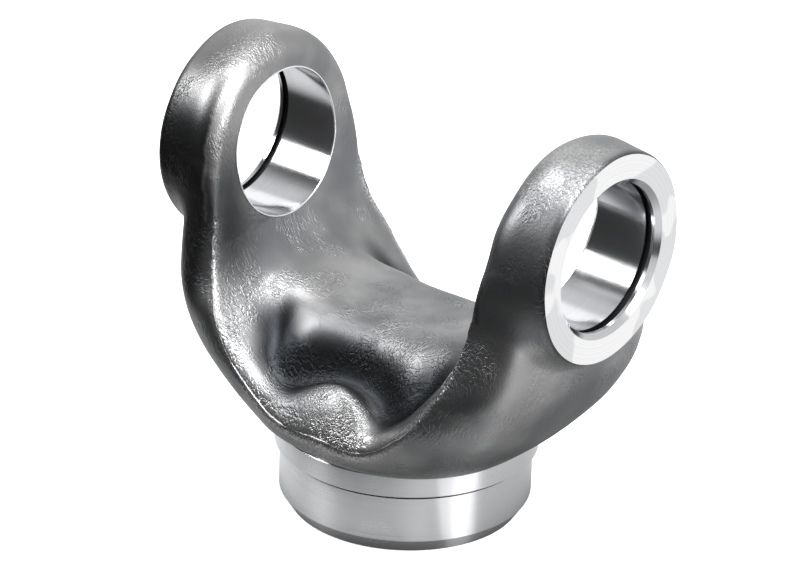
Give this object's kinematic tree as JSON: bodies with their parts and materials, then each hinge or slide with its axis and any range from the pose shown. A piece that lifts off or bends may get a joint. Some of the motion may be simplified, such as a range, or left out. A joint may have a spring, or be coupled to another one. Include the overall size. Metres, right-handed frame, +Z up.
{
  "type": "driveshaft tube yoke",
  "caption": "Forged steel driveshaft tube yoke with two bored ears, a deep saddle and a turned hub that fits a shaft tube.",
  "frame": {"origin": "middle of the hub's end face", "axes": "+Z up the shaft axis to the ears, X along the cup bores"},
  "size_m": [0.15, 0.0918, 0.141],
  "materials": {
    "forged_steel": "satin"
  },
  "bodies": {
    "root": {"forged_yoke": "forged_steel"}
  },
  "joints": []
}
